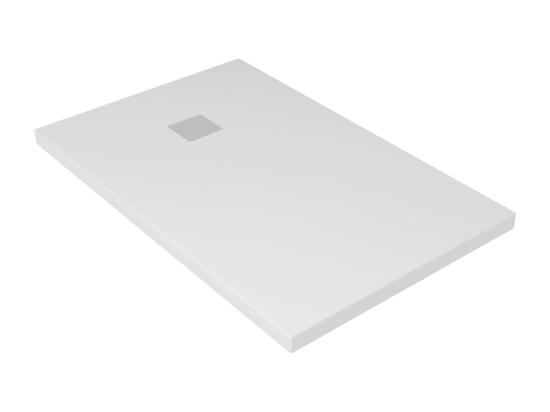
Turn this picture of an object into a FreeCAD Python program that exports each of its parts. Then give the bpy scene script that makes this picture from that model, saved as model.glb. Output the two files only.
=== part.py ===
"""Low rectangular shower tray with its drain cover and the waste trap clamped under it.

The tray is a thin acrylic shell, drawn down all round as a skirt, on a foam core and a base board,
and stiffened inside the skirt by four mitred aluminium rails. Its floor falls gently to a square
recess. A steel cover on a plastic carrier lifts out of the recess, and below it a strainer and a
dip tube lift out of the trap. The trap's outlet turns on a ball joint.

Millimetres. Origin: centre of the tray on its bearing plane. +X runs away from the drain end,
+Y to the left as seen from that end, +Z up.
"""

import FreeCAD, Part
import math
import os
from FreeCAD import Vector

os.makedirs("parts", exist_ok=True)

UP = Vector(0, 0, 1)
ALONG_X = Vector(1, 0, 0)
FULL_TURN = 360.0

# ---------------------------------------------------------------- driving sizes: tray
TRAY_LENGTH = 1200.0
TRAY_WIDTH = 750.0
TRAY_HEIGHT = 48.0
CORNER_RADIUS = 5.0        # upright corners, seen in plan
TOP_EDGE_RADIUS = 6.0
LOWER_EDGE_RADIUS = 0.8
SHELL_THICKNESS = 5.0
INNER_CORNER_RADIUS = 1.0  # upright corners of what lies inside the skirt
RIM_WIDTH = 16.0           # level land between the outer face and the falling floor
RIM_INNER_RADIUS = 24.0
FLOOR_FALL = 5.0           # from the level rim to the edge of the recess
BOARD_THICKNESS = 8.0
BOARD_GAP = 0.5            # between board and skirt
BOND_GAP = 0.3             # glue line over the foam core

# ---------------------------------------------------------------- driving sizes: stiffening rails
RAIL_WIDTH = 20.0
RAIL_WALL = 1.8
RAIL_GAP = 0.6             # between rail and skirt, and between rail and rim
KEY_ARM = 60.0
KEY_CLEARANCE = 0.2
KEY_POCKET = 9.0           # width of the lightening pockets in a corner key
KEY_POCKET_PITCH = 14.0
KEY_POCKETS = 3
BOARD_SCREW_RADIUS = 1.9
BOARD_SCREW_HEAD_RADIUS = 4.0
BOARD_SCREW_HEAD_HEIGHT = 2.6
BOARD_SCREW_LENGTH = 22.0
BOARD_SCREW_CLEARANCE = 0.1
SCREW_END_MARGIN = 120.0   # first screw from the corner of the rails
SCREWS_PER_LONG_RAIL = 4
SCREWS_PER_SHORT_RAIL = 2

# ---------------------------------------------------------------- driving sizes: drain in the tray
DRAIN_FROM_END = 290.0
COVER_SIZE = 115.0
COVER_CORNER_RADIUS = 3.0
COVER_EDGE_RADIUS = 1.0
COVER_SHEET = 1.5
COVER_FOLD = 7.0           # height of the folded-down edge
COVER_RISE = 1.0           # top of the cover above the edge of the recess
COVER_GAP = 1.2            # water slot round the cover
RECESS_DEPTH = 13.0
RECESS_EDGE_RADIUS = 1.0
SEAT_DEPTH = 3.0           # the flange lies in a round seat in the recess floor
SEAT_CLEARANCE = 1.5
WASTE_HOLE_RADIUS = 45.0

# ---------------------------------------------------------------- driving sizes: cover carrier
CARRIER_THICKNESS = 3.0
CARRIER_BAR = 12.0         # width of the square frame's bars
CARRIER_CLEARANCE = 0.2
LEG_RADIUS = 4.5
LEG_INSET = 10.0           # leg axis from the cover's edges
PAD_THICKNESS = 1.5

# ---------------------------------------------------------------- driving sizes: clamp flange
FLANGE_RADIUS = 56.5
FLANGE_SHEET = 1.5
FLANGE_HOLE_CLEARANCE = 1.0
SHELF_DROP = 7.0           # shelf below the flange's rim
SHELF_BORE_RADIUS = 34.5
UPPER_GASKET_THICKNESS = 1.5
UPPER_GASKET_WIDTH = 10.0
LOWER_GASKET_THICKNESS = 3.0
LOWER_GASKET_WIDTH = 14.0
GASKET_HOLE_CLEARANCE = 1.0
CLAMP_SCREWS = 4
CLAMP_SCREW_TURN = 45.0    # first screw, round from +X
CLAMP_SCREW_RADIUS = 2.0
CLAMP_SCREW_LENGTH = 16.0
CLAMP_SCREW_CIRCLE = 38.5
CLAMP_SCREW_HEAD_RADIUS = 3.8
CLAMP_SCREW_HEAD_HEIGHT = 2.4
CLAMP_SCREW_SLOT = 1.2
CLAMP_HOLE_CLEARANCE = 0.5
CLAMP_GAP = 0.3            # closes as the gaskets are squeezed

# ---------------------------------------------------------------- driving sizes: trap
TRAP_FLANGE_RADIUS = 62.0
TRAP_FLANGE_THICKNESS = 5.0
TRAP_CUP_RADIUS = 50.0
TRAP_WALL = 3.0
TRAP_BOTTOM_RADIUS = 10.0
TRAP_GUSSETS = 12
TRAP_GUSSET_THICKNESS = 2.4
TRAP_GUSSET_HEIGHT = 7.0
GUSSET_FREE_ANGLE = 60.0   # no gusset this near the outlet, either way
THROAT_RADIUS = 34.0
THROAT_WALL = 3.0
TRAP_SEAM_DROP = 8.0       # weld between collar and cup, below the flange
SEAT_LEDGE_DROP = 14.0     # insert's ledge below the trap's flange
SEALING_BORE_RADIUS = 29.6
SEALING_BORE_LENGTH = 11.0
BOSS_RADIUS = 5.5
BOSS_LENGTH = 16.0
INSERT_NUT_RADIUS = 3.2
INSERT_NUT_LENGTH = 10.0
INSERT_NUT_CLEARANCE = 0.1
WATER_SEAL = 30.0          # height of water that the dip tube reaches into
DIP_TUBE_TO_BOTTOM = 8.0

# ---------------------------------------------------------------- driving sizes: outlet
OUTLET_DROP = 25.0         # outlet axis below the bearing plane
PIPE_RADIUS = 20.0
PIPE_WALL = 1.8
PIPE_REACH = 120.0         # from the ball's centre to the pipe's end
PIPE_CHAMFER = 1.5
BALL_RADIUS = 27.0
BALL_WALL = 3.0
BALL_CLEARANCE = 0.3
BALL_FROM_AXIS = 80.0      # ball centre from the drain axis
OUTLET_BORE_RADIUS = 18.0
STUB_WALL = 1.8
STUB_MOUTH_BACK = 2.0      # mouth of the stub, short of the ball's centre
SEAL_DEPTH = 8.0
SEAL_FROM_CENTRE = 19.0    # middle of the seal, back from the ball's centre
NUT_WALL = 3.0
NUT_BACK = 18.0            # nut's rear and front faces from the ball's centre
NUT_FRONT = 11.0
NUT_THREAD_CLEARANCE = 0.3
NUT_LUGS = 10
NUT_LUG_WIDTH = 5.0
NUT_LUG_HEIGHT = 1.6

# ---------------------------------------------------------------- driving sizes: lift-out insert and strainer
INSERT_RIM_CLEARANCE = 0.5
INSERT_RIM_THICKNESS = 3.0
COLLAR_CLEARANCE = 0.6
COLLAR_LENGTH = 9.0
RING_RADIUS = 1.35         # section of the rubber ring
RING_SIDES = 8
RING_GROOVE_WIDTH = 3.0
RING_SQUEEZE_GAP = 0.05
TUBE_RADIUS = 24.0
TUBE_WALL = 2.2
FINGER_LUGS = 2
LUG_HEIGHT = 12.0
LUG_THICKNESS = 3.0
LUG_ANGLE = 44.0
LUG_HOLE_RADIUS = 3.2
STRAINER_CLEARANCE = 1.2
STRAINER_SHEET = 1.5
BASKET_DEPTH = 18.0
BASKET_SLOTS = 12          # as many in the wall as in the bottom
BASKET_SLOT_WIDTH = 1.2
BASKET_SLOT_MARGIN = 3.0   # solid band below and above the slots, and round the knob
KNOB_BOSS_RADIUS = 5.0
KNOB_STEM_RADIUS = 2.5
KNOB_RADIUS = 6.0
KNOB_WAIST = 3.2
KNOB_THICKNESS = 5.0
KNOB_CHAMFER = 1.5
KNOB_TOP = 13.0            # above the strainer's rim

# ---------------------------------------------------------------- board cut-out round the trap
ACCESS_GAP = 14.0          # free space round the trap's flange and the nut's end
ACCESS_CORNER_RADIUS = 20.0

# ---------------------------------------------------------------- places worked out from the sizes
DRAIN_X = -TRAY_LENGTH / 2 + DRAIN_FROM_END
DRAIN = Vector(DRAIN_X, 0, 0)
RECESS_SIZE = COVER_SIZE + 2 * COVER_GAP
RECESS_RADIUS = COVER_CORNER_RADIUS + COVER_GAP
FLOOR_LOW = TRAY_HEIGHT - FLOOR_FALL
RECESS_FLOOR = FLOOR_LOW - RECESS_DEPTH
SEAT_TOP = RECESS_FLOOR - SEAT_DEPTH
RECESS_UNDERSIDE = SEAT_TOP - SHELL_THICKNESS

FLANGE_RIM_LOW = SEAT_TOP + UPPER_GASKET_THICKNESS
FLANGE_RIM_TOP = FLANGE_RIM_LOW + FLANGE_SHEET
SHELF_TOP = FLANGE_RIM_TOP - SHELF_DROP
SHELF_LOW = SHELF_TOP - FLANGE_SHEET
FLANGE_DISH_RADIUS = WASTE_HOLE_RADIUS - FLANGE_HOLE_CLEARANCE

TRAP_TOP = RECESS_UNDERSIDE - LOWER_GASKET_THICKNESS
TRAP_FLANGE_LOW = TRAP_TOP - TRAP_FLANGE_THICKNESS
TRAP_SEAM = TRAP_FLANGE_LOW - TRAP_SEAM_DROP
BOSS_TOP = SHELF_LOW - CLAMP_GAP
INSERT_SEAT = TRAP_TOP - SEAT_LEDGE_DROP
THROAT_END = INSERT_SEAT - SEALING_BORE_LENGTH
OUTLET_Z = -OUTLET_DROP
OUTLET_INVERT = OUTLET_Z - OUTLET_BORE_RADIUS
DIP_TUBE_END = OUTLET_INVERT - WATER_SEAL
TRAP_INNER_BOTTOM = DIP_TUBE_END - DIP_TUBE_TO_BOTTOM
TRAP_CUP_OUTER = TRAP_CUP_RADIUS + TRAP_WALL
BALL_CENTRE = Vector(DRAIN_X - BALL_FROM_AXIS, 0, OUTLET_Z)
STUB_BORE_RADIUS = BALL_RADIUS + BALL_CLEARANCE
STUB_RADIUS = STUB_BORE_RADIUS + STUB_WALL

COVER_TOP = FLOOR_LOW + COVER_RISE
CARRIER_TOP = COVER_TOP - COVER_SHEET
CARRIER_LOW = CARRIER_TOP - CARRIER_THICKNESS
LEG_REACH = COVER_SIZE / 2 - LEG_INSET

RAIL_OUTER_X = TRAY_LENGTH / 2 - SHELL_THICKNESS - RAIL_GAP
RAIL_OUTER_Y = TRAY_WIDTH / 2 - SHELL_THICKNESS - RAIL_GAP
RAIL_LOW = BOARD_THICKNESS
RAIL_TOP = TRAY_HEIGHT - SHELL_THICKNESS - RAIL_GAP


# ---------------------------------------------------------------- shape helpers
def rounded_corners(length, width, radius, z, centre=Vector(0, 0, 0)):
    """Four quarter arcs at height z, each starting where a side ends, anticlockwise."""
    x, y = length / 2, width / 2
    corners = []
    for turn, (sx, sy) in enumerate(((1, 1), (-1, 1), (-1, -1), (1, -1))):
        middle = Vector(centre.x + sx * (x - radius), centre.y + sy * (y - radius), z)
        start = turn * math.pi / 2
        points = [
            middle + Vector(math.cos(start + a), math.sin(start + a), 0) * radius
            for a in (0, math.pi / 4, math.pi / 2)
        ]
        corners.append(Part.Arc(*points).toShape())
    return corners


def rounded_rectangle(length, width, radius, z, centre=Vector(0, 0, 0)):
    """Closed outline at height z, its sides along X and Y."""
    corners = rounded_corners(length, width, radius, z, centre)
    outline = []
    for here, after in zip(corners, corners[1:] + corners[:1]):
        outline.append(here)
        outline.append(Part.makeLine(here.Vertexes[-1].Point, after.Vertexes[0].Point))
    return Part.Wire(outline)


def slab(length, width, radius, low, high, centre=Vector(0, 0, 0)):
    """Upright block with rounded corners."""
    outline = rounded_rectangle(length, width, radius, low, centre)
    return Part.Face(outline).extrude(UP * (high - low))


def cylinder(radius, low, high, centre=DRAIN):
    return Part.makeCylinder(radius, high - low, Vector(centre.x, centre.y, low), UP)


def ring(inner, outer, low, high, centre=DRAIN):
    return cylinder(outer, low, high, centre).cut(cylinder(inner, low, high, centre))


def turned(outline, centre=DRAIN):
    """Solid of revolution about an upright axis, from (radius, z) corners."""
    corners = [Vector(centre.x + r, centre.y, z) for r, z in outline]
    face = Part.Face(Part.makePolygon(corners + corners[:1]))
    return face.revolve(centre, UP, FULL_TURN)


def lying_cylinder(radius, start, end):
    """Cylinder on the outlet axis; start and end are distances from the ball's centre, outwards."""
    return Part.makeCylinder(radius, end - start, BALL_CENTRE - ALONG_X * start, -ALONG_X)


def turned_on_outlet(outline):
    """Solid of revolution about the outlet axis, from (distance outwards, radius) corners."""
    corners = [BALL_CENTRE + Vector(-out, 0, r) for out, r in outline]
    face = Part.Face(Part.makePolygon(corners + corners[:1]))
    return face.revolve(BALL_CENTRE, ALONG_X, FULL_TURN)


def cone_on_ball(radius, touch, out):
    """Radius at distance out of the cone that touches a ball at distance touch from its centre."""
    lean = math.asin(touch / radius)
    return (radius - out * math.sin(lean)) / math.cos(lean)


def around_drain(shape, count, start=0.0):
    """Copies of shape, evenly spaced round the drain axis."""
    copies = []
    for k in range(count):
        copy = shape.copy()
        copy.rotate(DRAIN, UP, start + k * FULL_TURN / count)
        copies.append(copy)
    return copies


def fuse_all(first, others):
    """One solid, with the seams between coplanar faces taken out."""
    return first.multiFuse(others).removeSplitter()


def edges_at(shape, z, tolerance=1e-4):
    """Edges that lie wholly at one height."""
    return [
        e
        for e in shape.Edges
        if abs(e.BoundBox.ZMin - z) < tolerance and abs(e.BoundBox.ZMax - z) < tolerance
    ]


def save(name, *solids):
    shape = solids[0] if len(solids) == 1 else Part.makeCompound(list(solids))
    for solid in shape.Solids:
        assert solid.isValid(), name
    print(f"{name}: {len(shape.Solids)} solid(s), {shape.Volume / 1000:.1f} cm3")
    shape.exportStep(f"parts/{name}.step")


# ---------------------------------------------------------------- tray shell, core and board
def floor_tool(lowered=0.0):
    """The space above the falling floor, from the rim's inner outline down to the recess's edge.

    Each side is one plane and each corner a cone between two arcs, so no crease runs down the floor.
    """
    rim_outline = (TRAY_LENGTH - 2 * RIM_WIDTH, TRAY_WIDTH - 2 * RIM_WIDTH, RIM_INNER_RADIUS)
    rim = rounded_corners(*rim_outline, TRAY_HEIGHT - lowered)
    low = rounded_corners(RECESS_SIZE, RECESS_SIZE, RECESS_RADIUS, FLOOR_LOW - lowered, DRAIN)
    faces = [
        Part.Face(rounded_rectangle(*rim_outline, TRAY_HEIGHT - lowered)),
        Part.Face(
            rounded_rectangle(RECESS_SIZE, RECESS_SIZE, RECESS_RADIUS, FLOOR_LOW - lowered, DRAIN)
        ),
    ]
    for k in range(4):
        faces.append(Part.makeRuledSurface(low[k], rim[k]))
        after = (k + 1) % 4
        side = [
            low[k].Vertexes[-1].Point,
            low[after].Vertexes[0].Point,
            rim[after].Vertexes[0].Point,
            rim[k].Vertexes[-1].Point,
        ]
        faces.append(Part.Face(Part.makePolygon(side + side[:1])))
    shell = Part.makeShell(faces)
    shell.sewShape()
    return Part.makeSolid(shell)


def recess_box(grow=0.0, low=RECESS_FLOOR, high=TRAY_HEIGHT):
    size = RECESS_SIZE + 2 * grow
    return slab(size, size, RECESS_RADIUS + grow, low, high, DRAIN)


def under_shell(gap):
    """The hollow under the shell, kept clear of it by gap."""
    inset = SHELL_THICKNESS + gap
    hollow = slab(
        TRAY_LENGTH - 2 * inset,
        TRAY_WIDTH - 2 * inset,
        INNER_CORNER_RADIUS,
        0,
        TRAY_HEIGHT - inset,
    )
    hollow = hollow.cut(floor_tool(inset))
    return hollow.cut(recess_box(inset, RECESS_UNDERSIDE - gap, TRAY_HEIGHT))


def acrylic_shell():
    block = slab(TRAY_LENGTH, TRAY_WIDTH, CORNER_RADIUS, 0, TRAY_HEIGHT)
    block = block.makeFillet(TOP_EDGE_RADIUS, edges_at(block, TRAY_HEIGHT))
    block = block.makeFillet(LOWER_EDGE_RADIUS, edges_at(block, 0))
    shell = block.cut(floor_tool()).cut(recess_box())
    shell = shell.makeFillet(RECESS_EDGE_RADIUS, edges_at(shell, FLOOR_LOW))
    shell = shell.cut(cylinder(FLANGE_RADIUS + SEAT_CLEARANCE, SEAT_TOP, RECESS_FLOOR))
    shell = shell.cut(cylinder(WASTE_HOLE_RADIUS, 0, TRAY_HEIGHT))
    return shell.cut(under_shell(0))


def access_opening(low, high):
    """Cut-out in the core and the board that leaves the trap, its nut and a hand free."""
    front = TRAP_FLANGE_RADIUS + ACCESS_GAP
    back = BALL_FROM_AXIS + NUT_FRONT + ACCESS_GAP
    middle = DRAIN + ALONG_X * (front - back) / 2
    return slab(front + back, 2 * front, ACCESS_CORNER_RADIUS, low, high, middle)


def rail_band(low, high, gap):
    """The strip inside the skirt that the rails fill, as a closed frame."""
    outer_x, outer_y = RAIL_OUTER_X + RAIL_GAP, RAIL_OUTER_Y + RAIL_GAP
    inner_x, inner_y = RAIL_OUTER_X - RAIL_WIDTH - gap, RAIL_OUTER_Y - RAIL_WIDTH - gap
    corner = Vector(-outer_x, -outer_y, low)
    band = Part.makeBox(2 * outer_x, 2 * outer_y, high - low, corner)
    return band.cut(
        Part.makeBox(2 * inner_x, 2 * inner_y, high - low, Vector(-inner_x, -inner_y, low))
    )


def foam_core():
    core = under_shell(BOND_GAP)
    core = core.cut(Part.makeBox(
        TRAY_LENGTH, TRAY_WIDTH, BOARD_THICKNESS, Vector(-TRAY_LENGTH / 2, -TRAY_WIDTH / 2, 0)
    ))
    core = core.cut(rail_band(BOARD_THICKNESS, TRAY_HEIGHT, BOND_GAP))
    return core.cut(access_opening(0, TRAY_HEIGHT))


def board_screw_places():
    """(x, y) of each screw that holds the board to a rail, on the rails' centre lines."""
    places = []
    middle_x, middle_y = RAIL_OUTER_X - RAIL_WIDTH / 2, RAIL_OUTER_Y - RAIL_WIDTH / 2
    reach_x, reach_y = RAIL_OUTER_X - SCREW_END_MARGIN, RAIL_OUTER_Y - SCREW_END_MARGIN
    for k in range(SCREWS_PER_LONG_RAIL):
        x = -reach_x + 2 * reach_x * k / (SCREWS_PER_LONG_RAIL - 1)
        places += [(x, -middle_y), (x, middle_y)]
    for k in range(SCREWS_PER_SHORT_RAIL):
        y = -reach_y + 2 * reach_y * k / (SCREWS_PER_SHORT_RAIL - 1)
        places += [(-middle_x, y), (middle_x, y)]
    return places


def board_screw(x, y, clearance=0.0):
    """Countersunk screw, head flush with the board's underside. With clearance, the hole for it."""
    shank = BOARD_SCREW_RADIUS + clearance
    head = BOARD_SCREW_HEAD_RADIUS + clearance
    tip = BOARD_SCREW_LENGTH + clearance
    outline = [(0, 0), (head, 0), (shank, BOARD_SCREW_HEAD_HEIGHT), (shank, tip), (0, tip)]
    return turned(outline, Vector(x, y, 0))


def base_board():
    board = slab(
        TRAY_LENGTH - 2 * (SHELL_THICKNESS + BOARD_GAP),
        TRAY_WIDTH - 2 * (SHELL_THICKNESS + BOARD_GAP),
        INNER_CORNER_RADIUS,
        0,
        BOARD_THICKNESS,
    )
    board = board.cut(access_opening(0, BOARD_THICKNESS))
    holes = [board_screw(x, y, BOARD_SCREW_CLEARANCE) for x, y in board_screw_places()]
    return board.cut(holes)


# ---------------------------------------------------------------- rails and corner keys
def mitred_bar(half_length, outer, inner, low, high, spare=0.0):
    """Bar along X at the +Y side; each end leans in at 45 degrees from the outer corner."""
    reach = half_length + spare
    corners = [
        Vector(-reach, outer, low),
        Vector(reach, outer, low),
        Vector(reach - (outer - inner), inner, low),
        Vector(-reach + (outer - inner), inner, low),
    ]
    return Part.Face(Part.makePolygon(corners + corners[:1])).extrude(UP * (high - low))


def rail(half_length, outer):
    """Hollow box rail, open at its mitred ends."""
    bar = mitred_bar(half_length, outer, outer - RAIL_WIDTH, RAIL_LOW, RAIL_TOP)
    hollow = mitred_bar(
        half_length - RAIL_WALL,
        outer - RAIL_WALL,
        outer - RAIL_WIDTH + RAIL_WALL,
        RAIL_LOW + RAIL_WALL,
        RAIL_TOP - RAIL_WALL,
        RAIL_WALL,
    )
    return bar.cut(hollow)


def stiffening_rails():
    """The four rails by name, drilled for the board's screws."""
    holes = [board_screw(x, y, BOARD_SCREW_CLEARANCE) for x, y in board_screw_places()]
    rails = {}
    for name, half_length, outer, turn in (
        ("rail_left_side", RAIL_OUTER_X, RAIL_OUTER_Y, 0),
        ("rail_drain_end", RAIL_OUTER_Y, RAIL_OUTER_X, 90),
        ("rail_right_side", RAIL_OUTER_X, RAIL_OUTER_Y, 180),
        ("rail_far_end", RAIL_OUTER_Y, RAIL_OUTER_X, 270),
    ):
        bar = rail(half_length, outer)
        bar.rotate(Vector(0, 0, 0), UP, turn)
        rails[name] = bar.cut(holes)
    return rails


def corner_keys():
    """Cast elbows that join the rails, pocketed between their webs."""
    slack = RAIL_WALL + KEY_CLEARANCE
    low, high = RAIL_LOW + RAIL_WALL, RAIL_TOP - slack
    corner_x, corner_y = RAIL_OUTER_X - slack, RAIL_OUTER_Y - slack
    width = RAIL_WIDTH - 2 * slack
    keys = []
    for sx, sy in ((1, 1), (-1, 1), (-1, -1), (1, -1)):
        arms = [(KEY_ARM, width), (width, KEY_ARM)]
        boxes = []
        for along_x, along_y in arms:
            corner = Vector(
                min(sx * corner_x, sx * (corner_x - along_x)),
                min(sy * corner_y, sy * (corner_y - along_y)),
                low,
            )
            boxes.append(Part.makeBox(along_x, along_y, high - low, corner))
        key = fuse_all(boxes[0], boxes[1:])
        pockets = []
        for k in range(KEY_POCKETS):
            start = width + KEY_POCKET_PITCH * k + KEY_POCKET_PITCH - KEY_POCKET
            for vertical in (False, True):
                size_x, size_y = (KEY_POCKET, width - 2 * RAIL_WALL)
                near_x, near_y = start, RAIL_WALL
                if vertical:
                    size_x, size_y = size_y, size_x
                    near_x, near_y = near_y, near_x
                if start + KEY_POCKET < KEY_ARM:
                    corner = Vector(
                        min(sx * (corner_x - near_x), sx * (corner_x - near_x - size_x)),
                        min(sy * (corner_y - near_y), sy * (corner_y - near_y - size_y)),
                        low + RAIL_WALL,
                    )
                    pockets.append(Part.makeBox(size_x, size_y, high - low, corner))
        keys.append(key.cut(pockets))
    return keys


# ---------------------------------------------------------------- drain cover, the lifting lid
def cover_plate():
    """Pressed steel square with its edges folded down."""
    low = COVER_TOP - COVER_FOLD
    plate = slab(COVER_SIZE, COVER_SIZE, COVER_CORNER_RADIUS, low, COVER_TOP, DRAIN)
    plate = plate.makeFillet(COVER_EDGE_RADIUS, edges_at(plate, COVER_TOP))
    inside = COVER_SIZE - 2 * COVER_SHEET
    return plate.cut(
        slab(inside, inside, COVER_CORNER_RADIUS - COVER_SHEET, low, CARRIER_TOP, DRAIN)
    )


def leg_places():
    return [DRAIN + Vector(sx * LEG_REACH, sy * LEG_REACH, 0) for sx in (-1, 1) for sy in (-1, 1)]


def cover_carrier():
    """Plastic frame in the cover's fold, on four legs braced by fins."""
    outside = COVER_SIZE - 2 * (COVER_SHEET + CARRIER_CLEARANCE)
    inside = outside - 2 * CARRIER_BAR
    corner = COVER_CORNER_RADIUS - COVER_SHEET
    frame = slab(outside, outside, corner, CARRIER_LOW, CARRIER_TOP, DRAIN)
    frame = frame.cut(slab(inside, inside, CARRIER_BAR / 2, CARRIER_LOW, CARRIER_TOP, DRAIN))
    legs = [
        cylinder(LEG_RADIUS, RECESS_FLOOR + PAD_THICKNESS, CARRIER_TOP, place)
        for place in leg_places()
    ]
    return fuse_all(frame, legs)


def cover_pads():
    return [
        cylinder(LEG_RADIUS, RECESS_FLOOR, RECESS_FLOOR + PAD_THICKNESS, place)
        for place in leg_places()
    ]


# ---------------------------------------------------------------- clamp flange, gaskets and screws
def clamp_flange():
    """Pressed dish: rim on the recess seat, wall through the waste hole, shelf over the bosses."""
    wall = FLANGE_DISH_RADIUS - FLANGE_SHEET
    dish = turned(
        [
            (SHELF_BORE_RADIUS, SHELF_LOW),
            (FLANGE_DISH_RADIUS, SHELF_LOW),
            (FLANGE_DISH_RADIUS, FLANGE_RIM_LOW),
            (FLANGE_RADIUS, FLANGE_RIM_LOW),
            (FLANGE_RADIUS, FLANGE_RIM_TOP),
            (wall, FLANGE_RIM_TOP),
            (wall, SHELF_TOP),
            (SHELF_BORE_RADIUS, SHELF_TOP),
        ]
    )
    hole = cylinder(
        CLAMP_SCREW_RADIUS + CLAMP_HOLE_CLEARANCE,
        SHELF_LOW,
        SHELF_TOP,
        DRAIN + ALONG_X * CLAMP_SCREW_CIRCLE,
    )
    return dish.cut(around_drain(hole, CLAMP_SCREWS, CLAMP_SCREW_TURN))


def flange_gasket():
    inner = WASTE_HOLE_RADIUS + GASKET_HOLE_CLEARANCE
    return ring(inner, inner + UPPER_GASKET_WIDTH, SEAT_TOP, FLANGE_RIM_LOW)


def trap_gasket():
    inner = WASTE_HOLE_RADIUS + GASKET_HOLE_CLEARANCE
    return ring(inner, inner + LOWER_GASKET_WIDTH, TRAP_TOP, RECESS_UNDERSIDE)


def clamp_screws():
    place = DRAIN + ALONG_X * CLAMP_SCREW_CIRCLE
    head_top = SHELF_TOP + CLAMP_SCREW_HEAD_HEIGHT
    screw = turned(
        [
            (0, SHELF_TOP - CLAMP_SCREW_LENGTH),
            (CLAMP_SCREW_RADIUS, SHELF_TOP - CLAMP_SCREW_LENGTH),
            (CLAMP_SCREW_RADIUS, SHELF_TOP),
            (CLAMP_SCREW_HEAD_RADIUS, SHELF_TOP),
            (CLAMP_SCREW_HEAD_RADIUS, head_top),
            (0, head_top),
        ],
        place,
    )
    slot = Part.makeBox(
        2 * CLAMP_SCREW_HEAD_RADIUS,
        CLAMP_SCREW_SLOT,
        CLAMP_SCREW_SLOT,
        Vector(
            place.x - CLAMP_SCREW_HEAD_RADIUS, -CLAMP_SCREW_SLOT / 2, head_top - CLAMP_SCREW_SLOT
        ),
    )
    return around_drain(screw.cut(slot), CLAMP_SCREWS, CLAMP_SCREW_TURN)


def boss_nuts():
    """Brass nuts moulded into the trap's bosses."""
    place = DRAIN + ALONG_X * CLAMP_SCREW_CIRCLE
    nut = ring(
        CLAMP_SCREW_RADIUS + INSERT_NUT_CLEARANCE,
        INSERT_NUT_RADIUS,
        BOSS_TOP - INSERT_NUT_LENGTH,
        BOSS_TOP,
        place,
    )
    return around_drain(nut, CLAMP_SCREWS, CLAMP_SCREW_TURN)


# ---------------------------------------------------------------- trap body and outlet
def trap_mouldings():
    """Collar with flange, stepped throat and bosses; cup with the outlet stub; one weld seam."""
    bottom = TRAP_INNER_BOTTOM - TRAP_WALL
    cup = cylinder(TRAP_CUP_OUTER, bottom, TRAP_TOP)
    cup = cup.makeFillet(TRAP_BOTTOM_RADIUS, edges_at(cup, bottom))
    flange = cylinder(TRAP_FLANGE_RADIUS, TRAP_FLANGE_LOW, TRAP_TOP)
    stub_mouth = -STUB_MOUTH_BACK
    stub = lying_cylinder(STUB_RADIUS, -BALL_FROM_AXIS, stub_mouth)
    gusset_corners = [
        Vector(DRAIN_X + TRAP_CUP_RADIUS, 0, TRAP_FLANGE_LOW),
        Vector(DRAIN_X + TRAP_FLANGE_RADIUS, 0, TRAP_FLANGE_LOW),
        Vector(DRAIN_X + TRAP_CUP_OUTER, 0, TRAP_FLANGE_LOW - TRAP_GUSSET_HEIGHT),
        Vector(DRAIN_X + TRAP_CUP_RADIUS, 0, TRAP_FLANGE_LOW - TRAP_GUSSET_HEIGHT),
    ]
    gusset = Part.Face(Part.makePolygon(gusset_corners + gusset_corners[:1]))
    gusset.translate(Vector(0, -TRAP_GUSSET_THICKNESS / 2, 0))
    gusset = gusset.extrude(Vector(0, TRAP_GUSSET_THICKNESS, 0))
    pitch = FULL_TURN / TRAP_GUSSETS
    gussets = [
        copy
        for k, copy in enumerate(around_drain(gusset, TRAP_GUSSETS, pitch / 2))
        if abs(pitch * (k + 0.5) - FULL_TURN / 2) > GUSSET_FREE_ANGLE
    ]
    solid = fuse_all(cup, [flange, stub] + gussets)

    chamber = cylinder(TRAP_CUP_RADIUS, TRAP_INNER_BOTTOM, TRAP_FLANGE_LOW)
    foot = (TRAP_BOTTOM_RADIUS - TRAP_WALL) / math.sqrt(2)
    chamber = chamber.makeChamfer(foot, edges_at(chamber, TRAP_INNER_BOTTOM))
    throat_outer = THROAT_RADIUS + THROAT_WALL
    chamber = chamber.cut(cylinder(throat_outer, THROAT_END, TRAP_FLANGE_LOW))
    boss = cylinder(
        BOSS_RADIUS, BOSS_TOP - BOSS_LENGTH, BOSS_TOP, DRAIN + ALONG_X * CLAMP_SCREW_CIRCLE
    )
    bosses = around_drain(boss, CLAMP_SCREWS, CLAMP_SCREW_TURN)
    chamber = chamber.cut(bosses)
    solid = solid.cut(chamber)
    solid = fuse_all(solid, bosses)

    throat = cylinder(THROAT_RADIUS, INSERT_SEAT, BOSS_TOP)
    sealing_bore = cylinder(SEALING_BORE_RADIUS, TRAP_INNER_BOTTOM, INSERT_SEAT)
    nut_hole = cylinder(
        INSERT_NUT_RADIUS,
        BOSS_TOP - INSERT_NUT_LENGTH,
        BOSS_TOP,
        DRAIN + ALONG_X * CLAMP_SCREW_CIRCLE,
    )
    screw_hole = cylinder(
        CLAMP_SCREW_RADIUS + INSERT_NUT_CLEARANCE,
        SHELF_TOP - CLAMP_SCREW_LENGTH,
        BOSS_TOP,
        DRAIN + ALONG_X * CLAMP_SCREW_CIRCLE,
    )
    seat_start = -(SEAL_FROM_CENTRE + SEAL_DEPTH / 2)
    outlet_bore = lying_cylinder(OUTLET_BORE_RADIUS, -BALL_FROM_AXIS, stub_mouth)
    ball_bore = lying_cylinder(STUB_BORE_RADIUS, seat_start, stub_mouth)
    for space in (
        [throat, sealing_bore, outlet_bore, ball_bore]
        + around_drain(nut_hole, CLAMP_SCREWS, CLAMP_SCREW_TURN)
        + around_drain(screw_hole, CLAMP_SCREWS, CLAMP_SCREW_TURN)
    ):
        solid = solid.cut(space)

    # All above the seam is collar, past the gussets' tips too, and so is the throat below it.
    # The stub belongs to the cup however low the collar sits.
    collar_space = cylinder(TRAP_CUP_RADIUS, THROAT_END, TRAP_SEAM)
    collar_space = collar_space.fuse(cylinder(2 * TRAP_FLANGE_RADIUS, TRAP_SEAM, BOSS_TOP))
    outer_stub = lying_cylinder(STUB_RADIUS, TRAP_CUP_RADIUS - BALL_FROM_AXIS, stub_mouth)
    collar_space = collar_space.cut(outer_stub)
    return solid.common(collar_space), solid.cut(collar_space)


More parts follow.
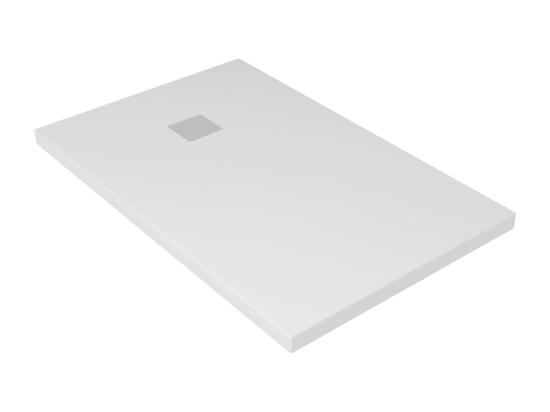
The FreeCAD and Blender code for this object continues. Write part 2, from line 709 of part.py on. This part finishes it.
def outlet_seal():
    """Rubber seat ring between the stub's shoulder and the ball, coned where the ball bears."""
    back = SEAL_FROM_CENTRE + SEAL_DEPTH / 2
    front = SEAL_FROM_CENTRE - SEAL_DEPTH / 2
    bearing = BALL_RADIUS + BALL_CLEARANCE / 2
    mouth = cone_on_ball(bearing, SEAL_FROM_CENTRE, front)
    lean = math.asin(SEAL_FROM_CENTRE / bearing)
    lip = (bearing - OUTLET_BORE_RADIUS * math.cos(lean)) / math.sin(lean)
    return turned_on_outlet(
        [
            (-back, OUTLET_BORE_RADIUS),
            (-back, STUB_BORE_RADIUS),
            (-front, STUB_BORE_RADIUS),
            (-front, mouth),
            (-lip, OUTLET_BORE_RADIUS),
        ]
    )


def union_nut():
    """Ring nut on the stub; its coned front lip holds the ball."""
    inner = STUB_RADIUS + NUT_THREAD_CLEARANCE
    outer = inner + NUT_WALL
    nut = lying_cylinder(outer, -NUT_BACK, NUT_FRONT)
    lug = Part.makeBox(
        NUT_BACK + NUT_FRONT,
        NUT_LUG_WIDTH,
        NUT_WALL + NUT_LUG_HEIGHT,
        BALL_CENTRE + Vector(-NUT_FRONT, -NUT_LUG_WIDTH / 2, inner),
    )
    lugs = []
    for k in range(NUT_LUGS):
        copy = lug.copy()
        copy.rotate(BALL_CENTRE, ALONG_X, k * FULL_TURN / NUT_LUGS)
        lugs.append(copy)
    nut = fuse_all(nut, lugs)
    bearing = BALL_RADIUS + BALL_CLEARANCE
    touch = (STUB_MOUTH_BACK + NUT_FRONT) / 2
    return nut.cut(
        turned_on_outlet(
            [
                (-NUT_BACK, 0),
                (-NUT_BACK, inner),
                (STUB_MOUTH_BACK, inner),
                (STUB_MOUTH_BACK, cone_on_ball(bearing, touch, STUB_MOUTH_BACK)),
                (NUT_FRONT, cone_on_ball(bearing, touch, NUT_FRONT)),
                (NUT_FRONT, 0),
            ]
        )
    )


def outlet_pipe():
    """Spigot with a hollow ball on its inner end."""
    pipe = lying_cylinder(PIPE_RADIUS, 0, PIPE_REACH)
    end_edge = [e for e in pipe.Edges if e.BoundBox.XMax < BALL_CENTRE.x - PIPE_REACH / 2]
    pipe = pipe.makeChamfer(PIPE_CHAMFER, end_edge)
    bore = PIPE_RADIUS - PIPE_WALL
    ball = Part.makeSphere(BALL_RADIUS, BALL_CENTRE, -ALONG_X, -90, 90, FULL_TURN)
    waist = BALL_RADIUS - BALL_WALL
    hollow = turned_on_outlet(
        [
            (-BALL_RADIUS, 0),
            (-BALL_RADIUS, OUTLET_BORE_RADIUS),
            (OUTLET_BORE_RADIUS - waist, OUTLET_BORE_RADIUS),
            (0, waist),
            (waist - bore, bore),
            (PIPE_REACH, bore),
            (PIPE_REACH, 0),
        ]
    )
    return fuse_all(ball, [pipe]).cut(hollow)


# ---------------------------------------------------------------- lift-out dip tube and strainer
def insert_sizes():
    """Radii of the insert's rim, collar and ring groove."""
    rim = THROAT_RADIUS - INSERT_RIM_CLEARANCE
    collar = SEALING_BORE_RADIUS - COLLAR_CLEARANCE
    groove = SEALING_BORE_RADIUS - RING_SQUEEZE_GAP - 2 * RING_RADIUS
    return rim, collar, groove


def dip_tube():
    """Tube hung in the throat by its rim, with a grooved collar and two finger lugs."""
    rim, collar, groove = insert_sizes()
    rim_top = INSERT_SEAT + INSERT_RIM_THICKNESS
    groove_middle = INSERT_SEAT - COLLAR_LENGTH / 2
    groove_low = groove_middle - RING_GROOVE_WIDTH / 2
    groove_high = groove_middle + RING_GROOVE_WIDTH / 2
    bore = TUBE_RADIUS - TUBE_WALL
    tube = turned(
        [
            (bore, DIP_TUBE_END),
            (TUBE_RADIUS, DIP_TUBE_END),
            (TUBE_RADIUS, INSERT_SEAT - COLLAR_LENGTH),
            (collar, INSERT_SEAT - COLLAR_LENGTH),
            (collar, groove_low),
            (groove, groove_low),
            (groove, groove_high),
            (collar, groove_high),
            (collar, INSERT_SEAT),
            (rim, INSERT_SEAT),
            (rim, rim_top),
            (bore, rim_top),
        ]
    )
    lug_inner = rim - LUG_THICKNESS
    sector = [
        DRAIN + Vector(0, 0, rim_top),
        DRAIN + Vector(2 * rim, -2 * rim * math.tan(math.radians(LUG_ANGLE / 2)), rim_top),
        DRAIN + Vector(2 * rim, 2 * rim * math.tan(math.radians(LUG_ANGLE / 2)), rim_top),
    ]
    wedge = Part.Face(Part.makePolygon(sector + sector[:1])).extrude(UP * LUG_HEIGHT)
    lug = ring(lug_inner, rim, rim_top, rim_top + LUG_HEIGHT).common(wedge)
    hole = Part.makeCylinder(
        LUG_HOLE_RADIUS,
        rim,
        DRAIN + Vector(lug_inner - LUG_THICKNESS, 0, rim_top + LUG_HEIGHT / 2),
        ALONG_X,
    )
    quarter_turn = FULL_TURN / 4
    return fuse_all(tube, around_drain(lug.cut(hole), FINGER_LUGS, quarter_turn))


def insert_ring():
    """Rubber ring in the collar's groove."""
    middle = insert_sizes()[2] + RING_RADIUS
    z = INSERT_SEAT - COLLAR_LENGTH / 2
    section = []
    for k in range(RING_SIDES):
        angle = 2 * math.pi * k / RING_SIDES
        section.append((middle + RING_RADIUS * math.cos(angle), z + RING_RADIUS * math.sin(angle)))
    return turned(section)


def strainer_heights():
    """Bottom of the basket and top of its rim."""
    top = INSERT_SEAT + INSERT_RIM_THICKNESS + STRAINER_SHEET
    return top - BASKET_DEPTH, top


def hair_strainer():
    """Pressed basket with slots all round, hung in the dip tube's mouth."""
    rim = insert_sizes()[0] - LUG_THICKNESS - STRAINER_CLEARANCE
    basket = TUBE_RADIUS - TUBE_WALL - STRAINER_CLEARANCE
    bottom, top = strainer_heights()
    inside = basket - STRAINER_SHEET
    bowl = turned(
        [
            (0, bottom),
            (basket, bottom),
            (basket, top - STRAINER_SHEET),
            (rim, top - STRAINER_SHEET),
            (rim, top),
            (inside, top),
            (inside, bottom + STRAINER_SHEET),
            (0, bottom + STRAINER_SHEET),
        ]
    )
    middle = inside - BASKET_SLOT_MARGIN
    wall_slot = Part.makeBox(
        basket,
        BASKET_SLOT_WIDTH,
        BASKET_DEPTH - 2 * BASKET_SLOT_MARGIN,
        Vector(DRAIN_X + middle, -BASKET_SLOT_WIDTH / 2, bottom + BASKET_SLOT_MARGIN),
    )
    start = KNOB_BOSS_RADIUS + BASKET_SLOT_MARGIN
    bottom_slot = Part.makeBox(
        middle - start,
        BASKET_SLOT_WIDTH,
        STRAINER_SHEET,
        Vector(DRAIN_X + start, -BASKET_SLOT_WIDTH / 2, bottom),
    )
    slots = around_drain(wall_slot, BASKET_SLOTS) + around_drain(bottom_slot, BASKET_SLOTS)
    return bowl.cut(slots)


def strainer_knob():
    """Turned knob with a waist for the fingertips, set on the basket's bottom."""
    bottom, rim_top = strainer_heights()
    low = bottom + STRAINER_SHEET
    top = rim_top + KNOB_TOP
    return turned(
        [
            (0, low),
            (KNOB_BOSS_RADIUS, low),
            (KNOB_STEM_RADIUS, low + KNOB_BOSS_RADIUS - KNOB_STEM_RADIUS),
            (KNOB_STEM_RADIUS, top - KNOB_THICKNESS - KNOB_WAIST),
            (KNOB_RADIUS, top - KNOB_THICKNESS),
            (KNOB_RADIUS, top - KNOB_CHAMFER),
            (KNOB_RADIUS - KNOB_CHAMFER, top),
            (0, top),
        ]
    )


# ---------------------------------------------------------------- write every piece
save("acrylic_shell", acrylic_shell())
save("foam_core", foam_core())
save("base_board", base_board())
for rail_name, rail_solid in stiffening_rails().items():
    save(rail_name, rail_solid)
save("rail_corner_keys", *corner_keys())
save("board_screws", *[board_screw(x, y) for x, y in board_screw_places()])
save("flange_gasket", flange_gasket())
save("clamp_flange", clamp_flange())
save("clamp_screws", *clamp_screws())
save("trap_gasket", trap_gasket())
save("boss_nuts", *boss_nuts())
trap_collar, trap_body = trap_mouldings()
save("trap_collar", trap_collar)
save("trap_body", trap_body)
save("outlet_seal", outlet_seal())
save("union_nut", union_nut())
save("outlet_pipe", outlet_pipe())
save("dip_tube", dip_tube())
save("dip_tube_ring", insert_ring())
save("hair_strainer", hair_strainer())
save("strainer_knob", strainer_knob())
save("cover_plate", cover_plate())
save("cover_carrier", cover_carrier())
save("cover_pads", *cover_pads())
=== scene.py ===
"""A low white shower tray with a square steel drain cover and the waste trap under it."""

import math

import bpy
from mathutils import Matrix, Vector


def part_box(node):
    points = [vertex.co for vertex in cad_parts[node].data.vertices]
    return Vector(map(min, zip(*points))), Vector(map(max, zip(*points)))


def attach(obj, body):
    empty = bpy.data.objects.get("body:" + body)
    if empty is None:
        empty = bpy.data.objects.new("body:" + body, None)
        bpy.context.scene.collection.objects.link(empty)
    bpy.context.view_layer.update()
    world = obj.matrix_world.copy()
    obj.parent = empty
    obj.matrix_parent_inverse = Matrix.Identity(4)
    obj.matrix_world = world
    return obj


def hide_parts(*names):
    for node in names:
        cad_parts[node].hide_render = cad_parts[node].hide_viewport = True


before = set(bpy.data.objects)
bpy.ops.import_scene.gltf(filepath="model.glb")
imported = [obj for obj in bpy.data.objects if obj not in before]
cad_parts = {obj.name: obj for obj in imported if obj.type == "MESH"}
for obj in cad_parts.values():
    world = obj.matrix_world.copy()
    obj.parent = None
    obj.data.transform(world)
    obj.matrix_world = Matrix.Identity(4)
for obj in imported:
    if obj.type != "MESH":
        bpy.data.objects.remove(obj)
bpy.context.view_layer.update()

# ---------------------------------------------------------------- tray shell
# The white top of the tray: one acrylic sheet drawn over a mould, with a skirt down all four sides,
# a level rim, a floor that falls to the drain, and a square recess with the waste hole in it.
# Every bend is a soft one, because a drawn sheet can't take a sharp one.

MM = 0.001
SHEET = 5.0 * MM
UPRIGHT_CORNER = 5.0 * MM
TOP_BEND = 4.0 * MM
LOWER_BEND = 0.8 * MM
LEAST_CORNER = 2.0 * MM    # of the outline, where it is drawn in
RIM_START = 1.0 * MM       # flat strip beside the top bend
RIM_WIDTH = 16.0 * MM
RIM_INNER_CORNER = 24.0 * MM
SOFT_START = 0.10          # share of the slope over which it eases out of the level rim
RECESS_BEND = 1.0 * MM
COVER_SLOT = 1.2 * MM      # gap round the cover
COVER_CORNER = 3.0 * MM
COVER_RISE = 1.0 * MM      # cover's top above the floor beside it
SEAT_SLACK = 1.5 * MM
HOLE_RADIUS = 45.0 * MM
ARC_STEPS = 10
SIDE_STEPS = 10
FLOOR_STEPS = 28
UNDERSIDE_STEPS = 4
FOLD_ANGLE = 35.0          # degrees between two faces; past it their edge is sharp

shell_low, shell_high = (Vector(corner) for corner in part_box("acrylic_shell"))
cover_low, cover_high = (Vector(corner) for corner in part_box("cover_plate"))
dish_low, dish_high = (Vector(corner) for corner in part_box("clamp_flange"))
tray_size = shell_high - shell_low
top = shell_high.z
drain = (cover_low + cover_high) / 2
recess_size = cover_high.x - cover_low.x + 2 * COVER_SLOT
recess_edge = cover_high.z - COVER_RISE
recess_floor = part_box("cover_pads")[0][2]
seat_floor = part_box("flange_gasket")[0][2]
seat_radius = (dish_high.x - dish_low.x) / 2 + SEAT_SLACK


def outline(length, width, corner, height, centre=(0.0, 0.0)):
    """One closed row of points: a rectangle with round corners, lying level."""
    points = []
    signs = ((1, 1), (-1, 1), (-1, -1), (1, -1))
    for turn, (sign_x, sign_y) in enumerate(signs):
        middle = Vector((sign_x * (length / 2 - corner), sign_y * (width / 2 - corner), 0))
        for step in range(ARC_STEPS + 1):
            angle = (turn + step / ARC_STEPS) * math.pi / 2
            points.append(middle + corner * Vector((math.cos(angle), math.sin(angle), 0)))
        after_x, after_y = signs[(turn + 1) % 4]
        end = Vector((after_x * (length / 2 - corner), after_y * (width / 2 - corner), 0))
        angle = (turn + 1) * math.pi / 2
        end += corner * Vector((math.cos(angle), math.sin(angle), 0))
        start = points[-1]
        for step in range(1, SIDE_STEPS):
            points.append(start.lerp(end, step / SIDE_STEPS))
    place = Vector((centre[0], centre[1], height))
    return [point + place for point in points]


def round_outline(pattern, radius, height, centre):
    """A circle with a point in the same direction as each point of the pattern."""
    middle = Vector((centre[0], centre[1], 0))
    points = []
    for point in pattern:
        direction = Vector((point.x, point.y, 0)) - middle
        points.append(middle + direction.normalized() * radius + Vector((0, 0, height)))
    return points


def bend(radius, steps=6):
    """(inset, drop) pairs round a quarter bend, from the upright face to the level one."""
    angles = [step / steps * math.pi / 2 for step in range(steps + 1)]
    return [(radius * (1 - math.cos(angle)), radius * (1 - math.sin(angle))) for angle in angles]


def skin(name, rows, closed=False, caps=False):
    """A mesh of four-sided faces through rows of points, with sharp edges only where it folds."""
    count = len(rows[0])
    faces = []
    last = len(rows) if closed else len(rows) - 1
    for row in range(last):
        after = (row + 1) % len(rows)
        for k in range(count):
            following = (k + 1) % count
            faces.append(
                (row * count + k, row * count + following, after * count + following, after * count + k)
            )
    if caps:
        faces.append(tuple(reversed(range(count))))
        faces.append(tuple((len(rows) - 1) * count + k for k in range(count)))
    mesh = bpy.data.meshes.new(name)
    mesh.from_pydata([tuple(point) for row in rows for point in row], [], faces)
    mesh.validate()
    mesh.update()
    mesh.shade_smooth()
    mesh.set_sharp_from_angle(angle=math.radians(FOLD_ANGLE))
    piece = bpy.data.objects.new(name, mesh)
    bpy.context.scene.collection.objects.link(piece)
    return piece


def inset_outline(inset, height):
    """The tray's outline drawn in by an even distance."""
    corner = max(UPRIGHT_CORNER - inset, LEAST_CORNER)
    return outline(tray_size.x - 2 * inset, tray_size.y - 2 * inset, corner, height)


def floor_outline(share, lowered=0.0):
    """The floor at a share of the way from the rim to the recess."""
    fall = top - recess_edge
    eased = share - SOFT_START / 2 if share > SOFT_START else share * share / (2 * SOFT_START)
    height = top - lowered - fall * eased / (1 - SOFT_START / 2)
    rim_length, rim_width = tray_size.x - 2 * RIM_WIDTH, tray_size.y - 2 * RIM_WIDTH
    recess_corner = COVER_CORNER + COVER_SLOT
    return outline(
        rim_length + (recess_size - rim_length) * share,
        rim_width + (recess_size - rim_width) * share,
        RIM_INNER_CORNER + (recess_corner - RIM_INNER_CORNER) * share,
        height,
        (drain.x * share, drain.y * share),
    )


def recess_outline(inset, height):
    """The recess round the cover, drawn in by an even distance."""
    corner = COVER_CORNER + COVER_SLOT - inset
    return outline(recess_size - 2 * inset, recess_size - 2 * inset, corner, height, drain)


def round_row(radius, height):
    """A circle about the drain."""
    return round_outline(recess_outline(0, 0), radius, height, drain)


shell_rows = [inset_outline(SHEET, 0)]
shell_rows += [inset_outline(inset, drop) for inset, drop in reversed(bend(LOWER_BEND))]
shell_rows += [inset_outline(inset, top - drop) for inset, drop in bend(TOP_BEND, ARC_STEPS)]
shell_rows.append(inset_outline(TOP_BEND + RIM_START, top))
shell_rows += [floor_outline(step / FLOOR_STEPS) for step in range(FLOOR_STEPS)]
shell_rows.append(recess_outline(-2 * RECESS_BEND, recess_edge))
shell_rows += [
    recess_outline(-reach, recess_edge - drop) for drop, reach in bend(RECESS_BEND)
]
shell_rows.append(recess_outline(0, recess_floor))
shell_rows.append(round_row(seat_radius, recess_floor))
shell_rows.append(round_row(seat_radius, seat_floor))
shell_rows.append(round_row(HOLE_RADIUS, seat_floor))
shell_rows.append(round_row(HOLE_RADIUS, seat_floor - SHEET))
shell_rows.append(recess_outline(-SHEET, seat_floor - SHEET))
shell_rows.append(recess_outline(-SHEET, recess_edge - SHEET))
shell_rows += [
    floor_outline(1 - step / UNDERSIDE_STEPS, SHEET) for step in range(1, UNDERSIDE_STEPS + 1)
]
shell_rows.append(inset_outline(SHEET, top - SHEET))
shell = skin("tray_shell", shell_rows, closed=True)
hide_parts("acrylic_shell")
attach(shell, "tray")


class Signal:
    """A socket in a material, so that shader maths can be written as plain expressions."""

    def __init__(self, tree, socket=None):
        self.tree = tree
        self.socket = socket

    def node(self, kind, settings=None, sockets=None, output=0):
        """Any node: its type, its settings, and the values or links of its sockets."""
        made = self.tree.nodes.new(kind)
        for name, value in (settings or {}).items():
            setattr(made, name, value)
        for name, value in (sockets or {}).items():
            if isinstance(value, Signal):
                self.tree.links.new(value.socket, made.inputs[name])
            else:
                made.inputs[name].default_value = value
        return Signal(self.tree, made.outputs[output])

    def maths(self, operation, *terms):
        """A Math node on values."""
        return self.node("ShaderNodeMath", {"operation": operation}, dict(enumerate(terms)))

    def __add__(self, other):
        return self.maths("ADD", self, other)

    def __radd__(self, other):
        return self.maths("ADD", other, self)

    def __mul__(self, other):
        return self.maths("MULTIPLY", self, other)

    def __rmul__(self, other):
        return self.maths("MULTIPLY", other, self)

    def noise(self, scale, detail=2.0, stretch=(1.0, 1.0, 1.0)):
        """Cloudy values from 0 to 1 that are fixed to the piece; scale is in patches per metre."""
        place = self.node("ShaderNodeTexCoord", output="Object")
        place = self.node("ShaderNodeMapping", sockets={"Vector": place, "Scale": stretch})
        sockets = {"Vector": place, "Scale": scale, "Detail": detail}
        return self.node("ShaderNodeTexNoise", sockets=sockets)

    def blend(self, first, second):
        """Two colours mixed by this value."""
        sockets = {0: self, 6: (*first, 1.0), 7: (*second, 1.0)}
        return self.node("ShaderNodeMix", {"data_type": "RGBA"}, sockets, output=2)

    def bump(self, distance, strength=1.0):
        """A normal tilted by this value, taken as a height of up to the given distance."""
        sockets = {"Height": self, "Distance": distance, "Strength": strength}
        return self.node("ShaderNodeBump", sockets=sockets)


def surface(name, make, **fixed):
    """A material; make gives its varying sockets, and fixed sets the others on the shader."""
    material = bpy.data.materials.new(name)
    material.use_nodes = True
    tree = material.node_tree
    shader = tree.nodes["Principled BSDF"]
    for socket, value in fixed.items():
        shader.inputs[socket.replace("_", " ")].default_value = value
    for socket, value in make(Signal(tree)).items():
        tree.links.new(value.socket, shader.inputs[socket])
    return material


def dress(material, *objects):
    """The same material on every slot of each piece."""
    for piece in objects:
        if not piece.material_slots:
            piece.data.materials.append(material)
        for slot in piece.material_slots:
            slot.material = material


WHITE_ACRYLIC = (0.805, 0.805, 0.800)
WHITE_ACRYLIC_DEEP = (0.790, 0.791, 0.788)


def acrylic(signal):
    """Matt white sheet, faintly clouded and rippled."""
    clouds = signal.noise(6.0, 3.0)
    ripple = signal.noise(220.0, 2.0)
    return {
        "Base Color": clouds.blend(WHITE_ACRYLIC_DEEP, WHITE_ACRYLIC),
        "Roughness": 0.52 + 0.08 * clouds,
        "Normal": ripple.bump(0.00002, 0.4),
    }


white_acrylic = surface("white_acrylic", acrylic, IOR=1.49)
dress(white_acrylic, shell)

# ---------------------------------------------------------------- drain cover
# The square lid of the drain: a steel sheet with its edges folded down, finely brushed along the
# tray. It lies loose on a dark plastic frame, whose four legs stand on rubber pads in the recess.

COVER_BEND = 1.0 * MM
COVER_SHEET = 1.5 * MM

cover_size = cover_high.x - cover_low.x


def cover_outline(inset, height):
    """The cover's outline, drawn in by an even distance."""
    side = cover_size - 2 * inset
    return outline(side, side, COVER_CORNER - inset, height, drain)


cover_rows = [cover_outline(COVER_SHEET, cover_high.z - COVER_SHEET)]
cover_rows.append(cover_outline(COVER_SHEET, cover_low.z))
cover_rows.append(cover_outline(0, cover_low.z))
cover_rows += [cover_outline(inset, cover_high.z - drop) for inset, drop in bend(COVER_BEND)]
cover_rows.append(cover_outline(2 * COVER_BEND, cover_high.z))
cover = skin("cover_plate_sheet", cover_rows, caps=True)
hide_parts("cover_plate")
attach(cover, "cover")

STEEL_LIGHT = (0.875, 0.875, 0.875)
STEEL_DARK = (0.815, 0.815, 0.82)


def brushed(signal):
    """Steel with fine strokes along the tray."""
    strokes = signal.noise(90.0, 4.0, (1.0, 40.0, 40.0))
    return {
        "Base Color": strokes.blend(STEEL_DARK, STEEL_LIGHT),
        "Roughness": 0.36 + 0.12 * strokes,
        "Normal": strokes.bump(0.00001, 0.3),
    }


cover_steel = surface("cover_steel", brushed, Metallic=0.6)
dress(cover_steel, cover)


def dark_moulding(signal):
    """Nearly black plastic with a fine grain."""
    grain = signal.noise(900.0, 2.0)
    return {
        "Base Color": grain.blend((0.030, 0.030, 0.032), (0.045, 0.045, 0.048)),
        "Roughness": 0.48 + 0.12 * grain,
        "Normal": grain.bump(0.00003, 0.4),
    }


dress(surface("dark_moulding", dark_moulding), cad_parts["cover_carrier"])


def rubber(signal):
    """Black rubber with a greyish bloom."""
    bloom = signal.noise(160.0, 3.0)
    return {
        "Base Color": bloom.blend((0.018, 0.018, 0.019), (0.032, 0.032, 0.033)),
        "Roughness": 0.66 + 0.16 * bloom,
        "Normal": bloom.bump(0.00004, 0.4),
    }


black_rubber = surface("black_rubber", rubber)
dress(black_rubber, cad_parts["cover_pads"])

# ---------------------------------------------------------------- body under the shell
# What makes the thin sheet stiff: a slab of rigid foam, four mitred aluminium box rails joined by
# cast elbows, and a fibre board screwed to the rails from below with countersunk screws.


def foam(signal):
    """Yellowish rigid foam with small closed cells."""
    place = signal.node("ShaderNodeTexCoord", output="Object")
    cells = signal.node("ShaderNodeTexVoronoi", sockets={"Vector": place, "Scale": 700.0})
    tint = signal.noise(30.0)
    return {
        "Base Color": tint.blend((0.74, 0.66, 0.40), (0.82, 0.75, 0.50)),
        "Roughness": 0.80 + 0.15 * tint,
        "Normal": cells.bump(0.0002, 0.5),
    }


def fibre_board(signal):
    """Brown board of pressed fibres, with paler flecks."""
    fibres = signal.noise(60.0, 6.0, (1.0, 9.0, 9.0))
    flecks = signal.noise(700.0, 3.0)
    return {
        "Base Color": (0.6 * fibres + 0.4 * flecks).blend((0.30, 0.22, 0.14), (0.56, 0.45, 0.31)),
        "Roughness": 0.62 + 0.20 * flecks,
        "Normal": flecks.bump(0.00012, 0.5),
    }


def aluminium(signal):
    """Bare aluminium with the lines of the drawing die."""
    drawn = signal.noise(40.0, 3.0, (1.0, 30.0, 30.0))
    return {
        "Base Color": drawn.blend((0.66, 0.67, 0.68), (0.76, 0.77, 0.78)),
        "Roughness": 0.30 + 0.14 * drawn,
        "Normal": drawn.bump(0.00001, 0.4),
    }


def cast_alloy(signal):
    """Dull cast metal with fine pits."""
    pits = signal.noise(500.0, 4.0)
    return {
        "Base Color": pits.blend((0.46, 0.47, 0.48), (0.58, 0.59, 0.60)),
        "Roughness": 0.48 + 0.20 * pits,
        "Normal": pits.bump(0.0001, 0.6),
    }


def zinc(signal):
    """Bright plating with a faint spangle."""
    spangle = signal.noise(260.0, 3.0)
    return {
        "Base Color": spangle.blend((0.56, 0.57, 0.58), (0.70, 0.70, 0.69)),
        "Roughness": 0.26 + 0.16 * spangle,
        "Normal": spangle.bump(0.00002, 0.4),
    }


rails = [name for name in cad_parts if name.startswith("rail_") and "keys" not in name]
dress(surface("core_foam", foam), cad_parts["foam_core"])
dress(surface("fibre_board", fibre_board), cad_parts["base_board"])
dress(surface("rail_aluminium", aluminium, Metallic=1.0), *[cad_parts[name] for name in rails])
dress(surface("cast_alloy", cast_alloy, Metallic=1.0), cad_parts["rail_corner_keys"])
bright_zinc = surface("bright_zinc", zinc, Metallic=1.0)
dress(bright_zinc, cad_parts["board_screws"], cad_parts["clamp_screws"])

# ---------------------------------------------------------------- waste clamped through the hole
# A pressed steel dish sits on a rubber ring in the recess. Four screws pull it down on brass nuts in
# the trap below, which squeezes a second ring against the underside of the sheet.


def pressed_steel(signal):
    """Satin steel as it comes from the press."""
    satin = signal.noise(320.0, 3.0)
    return {
        "Base Color": satin.blend((0.58, 0.58, 0.58), (0.68, 0.68, 0.675)),
        "Roughness": 0.24 + 0.12 * satin,
        "Normal": satin.bump(0.00001, 0.4),
    }


def turned_brass(signal):
    """Brass that has begun to tarnish."""
    tarnish = signal.noise(240.0, 3.0)
    return {
        "Base Color": tarnish.blend((0.55, 0.40, 0.16), (0.74, 0.56, 0.26)),
        "Roughness": 0.24 + 0.16 * tarnish,
        "Normal": tarnish.bump(0.00002, 0.4),
    }


flange_steel = surface("flange_steel", pressed_steel, Metallic=1.0)
pressed = ("clamp_flange", "hair_strainer", "strainer_knob")
dress(flange_steel, *[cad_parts[name] for name in pressed])
dress(surface("nut_brass", turned_brass, Metallic=1.0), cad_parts["boss_nuts"])
dress(black_rubber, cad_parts["flange_gasket"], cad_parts["trap_gasket"])

# ---------------------------------------------------------------- trap and outlet
# A moulded white cup that holds the standing water, with a grey dip tube that lifts out of it. The
# outlet pipe ends in a hollow ball, which a ring nut holds on a rubber seat so that it can turn.


def white_moulding(signal):
    """Slightly warm white plastic with a fine grain."""
    haze = signal.noise(14.0, 3.0)
    grain = signal.noise(1100.0, 2.0)
    return {
        "Base Color": haze.blend((0.74, 0.74, 0.72), (0.80, 0.80, 0.785)),
        "Roughness": 0.36 + 0.12 * haze,
        "Normal": grain.bump(0.00003, 0.4),
    }


def grey_moulding(signal):
    """Blue-grey plastic with a fine grain."""
    haze = signal.noise(40.0, 3.0)
    grain = signal.noise(1100.0, 2.0)
    return {
        "Base Color": haze.blend((0.145, 0.165, 0.190), (0.180, 0.200, 0.225)),
        "Roughness": 0.38 + 0.12 * haze,
        "Normal": grain.bump(0.00003, 0.4),
    }


trap_plastic = surface("trap_plastic", white_moulding)
moulded = ("trap_collar", "trap_body", "union_nut", "outlet_pipe")
dress(trap_plastic, *[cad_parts[name] for name in moulded])
dress(surface("insert_plastic", grey_moulding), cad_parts["dip_tube"])
dress(black_rubber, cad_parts["outlet_seal"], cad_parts["dip_tube_ring"])

# ---------------------------------------------------------------- floor
# A plain white floor, level with the underside of the tray, with a pit under the tray for the trap.

FLOOR_REACH = 6.0
PIT_INSET = 3.0 * MM

pit = inset_outline(PIT_INSET, 0)
edge = round_outline(pit, FLOOR_REACH, 0, (0, 0))
floor = skin("floor", [edge, pit])


def floor_white(signal):
    """A dark base that glows white, so that no shadow falls on it."""
    clouds = signal.noise(1.5, 2.0)
    return {
        "Base Color": clouds.blend((0.02, 0.02, 0.02), (0.03, 0.03, 0.03)),
        "Roughness": 0.70 + 0.10 * clouds,
    }


dress(surface("floor_white", floor_white, Emission_Color=(1, 1, 1, 1), Emission_Strength=1.0), floor)

# ---------------------------------------------------------------- studio light
# Even light all round, and one large soft lamp on the near side that brightens the near corner.

WORLD_STRENGTH = 0.40
LAMP_PLACE = (1.05, -1.80, 4.0)
LAMP_AIM = (0.2, -0.1, 0.0)
LAMP_SIZE = 1.2
LAMP_POWER = 122.0

world = bpy.data.worlds.new("studio")
world.use_nodes = True
world.node_tree.nodes["Background"].inputs["Color"].default_value = (1, 1, 1, 1)
world.node_tree.nodes["Background"].inputs["Strength"].default_value = WORLD_STRENGTH
bpy.context.scene.world = world


def aim(piece, place, target):
    """Put a lamp or the camera in its place, looking at the target."""
    piece.location = place
    piece.rotation_euler = (Vector(target) - Vector(place)).to_track_quat("-Z", "Y").to_euler()
    bpy.context.scene.collection.objects.link(piece)


lamp_data = bpy.data.lights.new("soft_lamp", "AREA")
lamp_data.energy = LAMP_POWER
lamp_data.size = LAMP_SIZE
aim(bpy.data.objects.new("soft_lamp", lamp_data), LAMP_PLACE, LAMP_AIM)

# ---------------------------------------------------------------- camera
# It looks down on the tray from the far end's right, as the photograph was taken.

CAMERA_PLACE = (1.8976, -1.4027, 1.5049)
CAMERA_AIM = (-0.63494, 0.53464, -0.55768)
LENS = 65.73
SENSOR = 36.0
AXIS_OFF_CENTRE = 38.44 / 550     # how far right of the frame's middle the lens points

camera_data = bpy.data.cameras.new("camera")
camera_data.lens = LENS
camera_data.sensor_fit = "HORIZONTAL"
camera_data.sensor_width = SENSOR
camera_data.shift_x = -AXIS_OFF_CENTRE
camera = bpy.data.objects.new("camera", camera_data)
aim(camera, CAMERA_PLACE, Vector(CAMERA_PLACE) + Vector(CAMERA_AIM))
bpy.context.scene.camera = camera
bpy.context.scene.view_settings.view_transform = "Standard"
